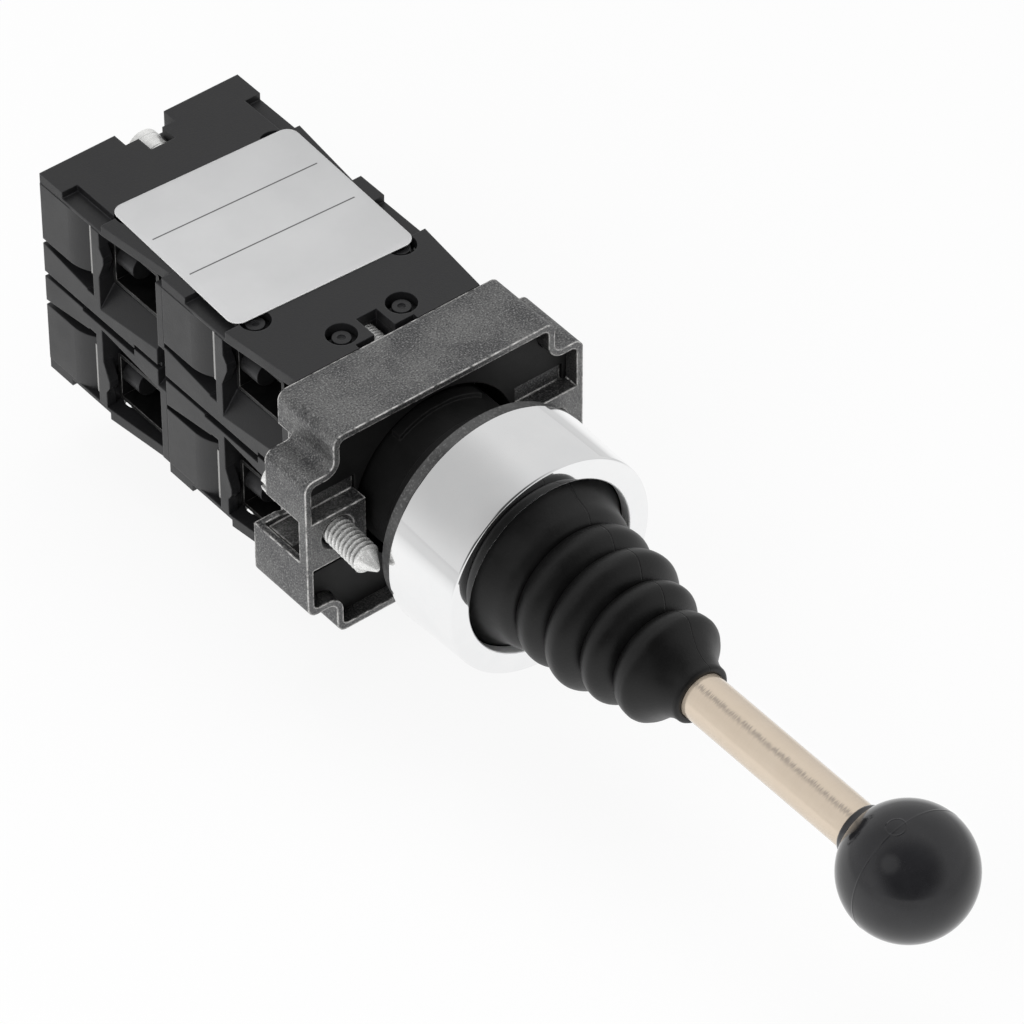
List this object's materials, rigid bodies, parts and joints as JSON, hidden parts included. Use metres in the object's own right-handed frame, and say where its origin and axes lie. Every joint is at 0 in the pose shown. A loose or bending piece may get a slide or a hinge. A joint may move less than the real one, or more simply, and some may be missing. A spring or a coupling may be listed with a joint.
{
  "type": "industrial joystick",
  "caption": "Panel-mounted four-way spring-return joystick with a ball lever, rubber bellows, plated bezel, cast bracket and screw-terminal contact blocks.",
  "frame": {"origin": "centre of the neck at the front end of its full-size land, where the panel's front face comes to lie", "axes": "-Y along the lever away from the panel, +Y back through the contact blocks, +Z towards the label side of the blocks, +X to the right seen from behind the panel"},
  "size_m": [0.0408, 0.1489, 0.0306],
  "materials": {
    "black_housing": "moulded black thermoplastic with a satin skin",
    "black_cover": "moulded black thermoplastic, fine matt",
    "head_plastic": "black glass-filled plastic",
    "white_nylon": "natural white nylon",
    "contact_brass": "bright brass strip with silver-faced buttons",
    "tinned_contact": "tinned strip with silver-faced buttons",
    "cage_steel": "blackened steel strap, bright along its edges",
    "spring_steel": "bright spring wire",
    "plated_steel": "bright zinc-plated steel",
    "machined_steel": "turned steel",
    "pusher_steel": "ground steel rod",
    "chrome_bezel": "polished chrome plate",
    "gasket_rubber": "dark grey speckled rubber sheet",
    "cast_zinc": "die-cast zinc, speckled grey with bright worn edges",
    "bellows_rubber": "moulded black rubber, soft satin",
    "lever_metal": "pale champagne metal, drawn and finely brushed",
    "knob_plastic": "glossy black phenolic ball with a faint parting line",
    "label_paper": "light grey printed foil, left bare apart from ruled lines"
  },
  "bodies": {
    "root": {"bezel_ring": "chrome_bezel", "panel_gasket": "gasket_rubber", "head_body": "head_plastic", "guide_plate": "head_plastic", "bracket": "cast_zinc", "base_plate": "head_plastic", "clamp_screws": "plated_steel", "block_screws": "plated_steel", "front_upper_housing": "black_housing", "front_upper_cover": "black_cover", "front_upper_fixed_contacts": "tinned_contact", "front_upper_terminal_cages": "cage_steel", "front_upper_terminal_screws": "plated_steel", "front_lower_housing": "black_housing", "front_lower_cover": "black_cover", "front_lower_fixed_contacts": "tinned_contact", "front_lower_terminal_cages": "cage_steel", "front_lower_terminal_screws": "plated_steel", "rear_upper_housing": "black_housing", "rear_upper_cover": "black_cover", "rear_upper_fixed_contacts": "tinned_contact", "rear_upper_terminal_cages": "cage_steel", "rear_upper_terminal_screws": "plated_steel", "rear_lower_housing": "black_housing", "rear_lower_cover": "black_cover", "rear_lower_fixed_contacts": "tinned_contact", "rear_lower_terminal_cages": "cage_steel", "rear_lower_terminal_screws": "plated_steel", "pusher_spring_up": "spring_steel", "pusher_spring_down": "spring_steel", "pusher_spring_left": "spring_steel", "pusher_spring_right": "spring_steel"},
    "gimbal": {"gimbal_ring": "machined_steel", "trunnion_pins": "machined_steel", "lever_pin": "machined_steel", "bellows": "bellows_rubber"},
    "lever": {"lever_foot": "machined_steel", "lever_rod": "lever_metal", "knob": "knob_plastic"},
    "up_plunger": {"pusher_up": "pusher_steel", "front_upper_plunger": "white_nylon", "front_upper_contact_bridge": "contact_brass", "front_upper_contact_spring": "spring_steel"},
    "down_plunger": {"pusher_down": "pusher_steel", "front_lower_plunger": "white_nylon", "front_lower_contact_bridge": "contact_brass", "front_lower_contact_spring": "spring_steel"},
    "left_plunger": {"pusher_left": "pusher_steel", "rear_upper_plunger": "white_nylon", "rear_upper_contact_bridge": "contact_brass", "rear_upper_contact_spring": "spring_steel"},
    "right_plunger": {"pusher_right": "pusher_steel", "rear_lower_plunger": "white_nylon", "rear_lower_contact_bridge": "contact_brass", "rear_lower_contact_spring": "spring_steel"}
  },
  "joints": [
    {"name": "tilt_up_down", "type": "hinge", "parent": "root", "child": "gimbal", "pos_m": [0, -0.005, 0], "axis": [1, 0, 0], "range_deg": [-15, 15], "stiffness_Nm_per_rad": 1.5, "deforming": ["bellows"]},
    {"name": "tilt_left_right", "type": "hinge", "parent": "gimbal", "child": "lever", "pos_m": [0, -0.005, 0], "axis": [0, 0, 1], "range_deg": [-15, 15], "stiffness_Nm_per_rad": 1.5, "deforming": ["bellows"]},
    {"name": "up_plunger_slide", "type": "slide", "parent": "root", "child": "up_plunger", "axis": [0, 1, 0], "range_m": [-0.00176, 0.00176], "deforming": ["pusher_spring_up"]},
    {"name": "down_plunger_slide", "type": "slide", "parent": "root", "child": "down_plunger", "axis": [0, 1, 0], "range_m": [-0.00176, 0.00176], "deforming": ["pusher_spring_down"]},
    {"name": "left_plunger_slide", "type": "slide", "parent": "root", "child": "left_plunger", "axis": [0, 1, 0], "range_m": [-0.00176, 0.00176], "deforming": ["pusher_spring_left"]},
    {"name": "right_plunger_slide", "type": "slide", "parent": "root", "child": "right_plunger", "axis": [0, 1, 0], "range_m": [-0.00176, 0.00176], "deforming": ["pusher_spring_right"]}
  ],
  "couplings": [
    {"joint": "up_plunger_slide", "follows": "tilt_up_down", "m_per_rad": -0.0067},
    {"joint": "down_plunger_slide", "follows": "tilt_up_down", "m_per_rad": 0.0067},
    {"joint": "left_plunger_slide", "follows": "tilt_left_right", "m_per_rad": -0.0067},
    {"joint": "right_plunger_slide", "follows": "tilt_left_right", "m_per_rad": 0.0067}
  ]
}
